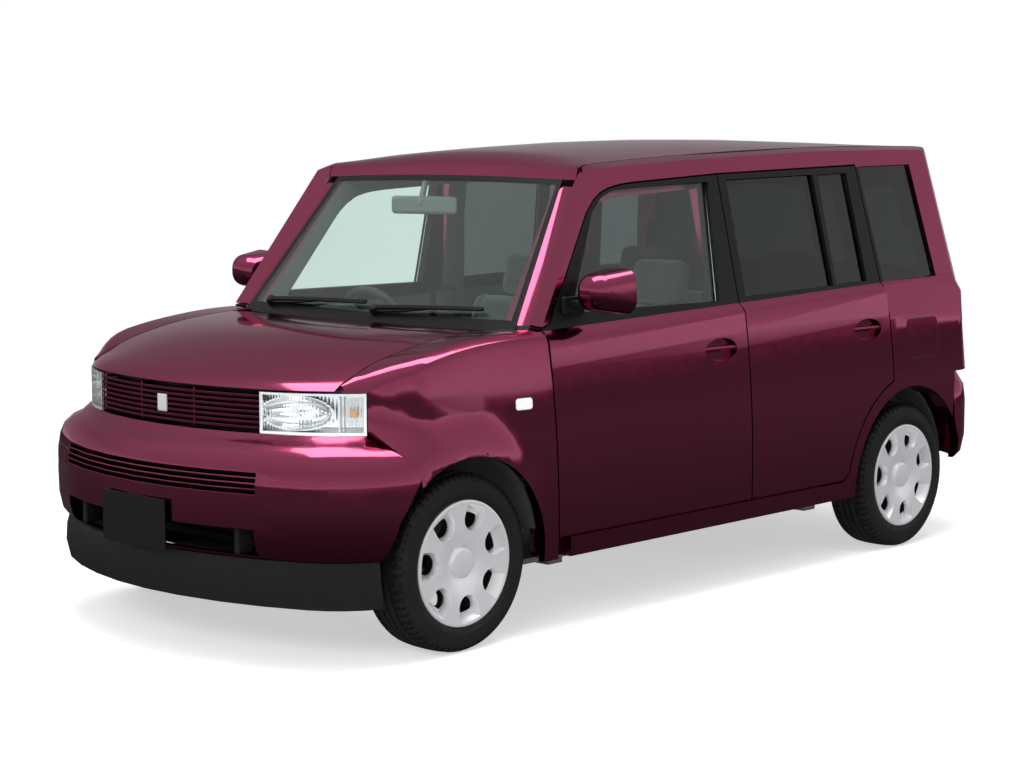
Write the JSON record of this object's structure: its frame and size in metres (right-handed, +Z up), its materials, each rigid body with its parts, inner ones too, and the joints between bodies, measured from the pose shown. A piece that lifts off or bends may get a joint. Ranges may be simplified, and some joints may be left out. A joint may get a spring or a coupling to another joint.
{
  "type": "compact minivan",
  "caption": "Tall, boxy compact minivan with hinged side doors, hood and top-hung tailgate, steered front wheels, a hollow cabin with seats and dashboard, and plain wheel covers.",
  "frame": {"origin": "on the ground under the middle of the body", "axes": "+X forward, +Y to the car's left, +Z up"},
  "size_m": [3.825, 1.9974, 1.6392],
  "materials": {
    "paint": "deep plum metallic under clear coat",
    "black_plastic": "matt black moulding",
    "steel": "dark coated sheet steel",
    "black_steel": "black coated steel",
    "cast_metal": "bare cast metal",
    "silver": "silver painted moulding",
    "tyre": "black rubber",
    "glass_clear": "clear glass with a green tint",
    "glass_dark": "dark privacy glass",
    "reflector": "bright metallised bowl",
    "lamp_red": "clear red and white lens",
    "cloth": "grey woven cloth"
  },
  "bodies": {
    "body": {"floor_pan": "steel", "tunnel": "steel", "rear_floor": "steel", "front_frame": "steel", "body_side_left": "paint", "body_side_right": "paint", "roof": "paint", "windscreen": "glass_clear", "quarter_glass": "glass_dark", "fender_left": "paint", "fender_right": "paint", "front_bumper": "paint", "front_lip": "black_plastic", "grille": "paint", "headlamps": "reflector", "headlamp_lenses": "glass_clear", "rear_bumper": "paint", "tail_lamps": "lamp_red", "cowl": "black_plastic", "dashboard": "black_plastic", "front_seats": "cloth", "rear_bench": "cloth", "engine": "cast_metal", "front_subframe": "black_steel", "rear_axle": "black_steel", "exhaust": "cast_metal", "fuel_tank": "black_plastic"},
    "hood": {"hood": "paint"},
    "door_front_left": {"door_front_left": "paint", "door_front_glass_left": "glass_clear", "mirror_left": "paint"},
    "door_rear_left": {"door_rear_left": "paint", "door_rear_glass_left": "glass_dark"},
    "door_front_right": {"door_front_right": "paint", "door_front_glass_right": "glass_clear", "mirror_right": "paint"},
    "door_rear_right": {"door_rear_right": "paint", "door_rear_glass_right": "glass_dark"},
    "tailgate": {"tailgate": "paint", "tailgate_glass": "glass_dark"},
    "steering_wheel": {"steering_wheel": "black_plastic"},
    "upright_left": {"knuckle_left": "cast_metal"},
    "upright_right": {"knuckle_right": "cast_metal"},
    "wheel_front_left": {"wheel_front_left": "silver", "tyre_front_left": "tyre"},
    "wheel_front_right": {"wheel_front_right": "silver", "tyre_front_right": "tyre"},
    "wheel_rear_left": {"wheel_rear_left": "silver", "tyre_rear_left": "tyre"},
    "wheel_rear_right": {"wheel_rear_right": "silver", "tyre_rear_right": "tyre"}
  },
  "joints": [
    {"name": "hood_hinge", "type": "hinge", "parent": "body", "child": "hood", "pos_m": [0.9505, 0, 0.969], "axis": [0, -1, 0], "range_deg": [0, 50]},
    {"name": "tailgate_hinge", "type": "hinge", "parent": "body", "child": "tailgate", "pos_m": [-1.5945, 0, 1.596], "axis": [0, 1, 0], "range_deg": [0, 85]},
    {"name": "door_front_left_hinge", "type": "hinge", "parent": "body", "child": "door_front_left", "pos_m": [0.811, 0.823, 0], "axis": [-0.0634, 0, -0.998], "range_deg": [0, 65]},
    {"name": "door_rear_left_hinge", "type": "hinge", "parent": "body", "child": "door_rear_left", "pos_m": [-0.239, 0.823, 0], "axis": [-0.0634, 0, -0.998], "range_deg": [0, 65]},
    {"name": "door_front_right_hinge", "type": "hinge", "parent": "body", "child": "door_front_right", "pos_m": [0.811, -0.823, 0], "axis": [0.0634, 0, 0.998], "range_deg": [0, 65]},
    {"name": "door_rear_right_hinge", "type": "hinge", "parent": "body", "child": "door_rear_right", "pos_m": [-0.239, -0.823, 0], "axis": [0.0634, 0, 0.998], "range_deg": [0, 65]},
    {"name": "steer_left", "type": "hinge", "parent": "body", "child": "upright_left", "pos_m": [1.2205, 0.628, 0.292], "axis": [0, -0.1392, 0.9903], "range_deg": [-35, 35]},
    {"name": "steer_right", "type": "hinge", "parent": "body", "child": "upright_right", "pos_m": [1.2205, -0.628, 0.292], "axis": [0, 0.1392, 0.9903], "range_deg": [-35, 35]},
    {"name": "steering_turn", "type": "hinge", "parent": "body", "child": "steering_wheel", "pos_m": [0.51496, -0.35997, 0.9086], "axis": [-0.8988, 0, 0.4384], "range_deg": [-525, 525]},
    {"name": "wheel_front_left_spin", "type": "hinge", "parent": "upright_left", "child": "wheel_front_left", "pos_m": [1.2205, 0.72, 0.292], "axis": [0, 1, 0], "continuous": true},
    {"name": "wheel_front_right_spin", "type": "hinge", "parent": "upright_right", "child": "wheel_front_right", "pos_m": [1.2205, -0.72, 0.292], "axis": [0, 1, 0], "continuous": true},
    {"name": "wheel_rear_left_spin", "type": "hinge", "parent": "body", "child": "wheel_rear_left", "pos_m": [-1.2795, 0.72, 0.292], "axis": [0, 1, 0], "continuous": true},
    {"name": "wheel_rear_right_spin", "type": "hinge", "parent": "body", "child": "wheel_rear_right", "pos_m": [-1.2795, -0.72, 0.292], "axis": [0, 1, 0], "continuous": true}
  ],
  "couplings": [
    {"joint": "steer_right", "follows": "steer_left", "ratio": 1},
    {"joint": "steering_turn", "follows": "steer_left", "ratio": 15}
  ]
}
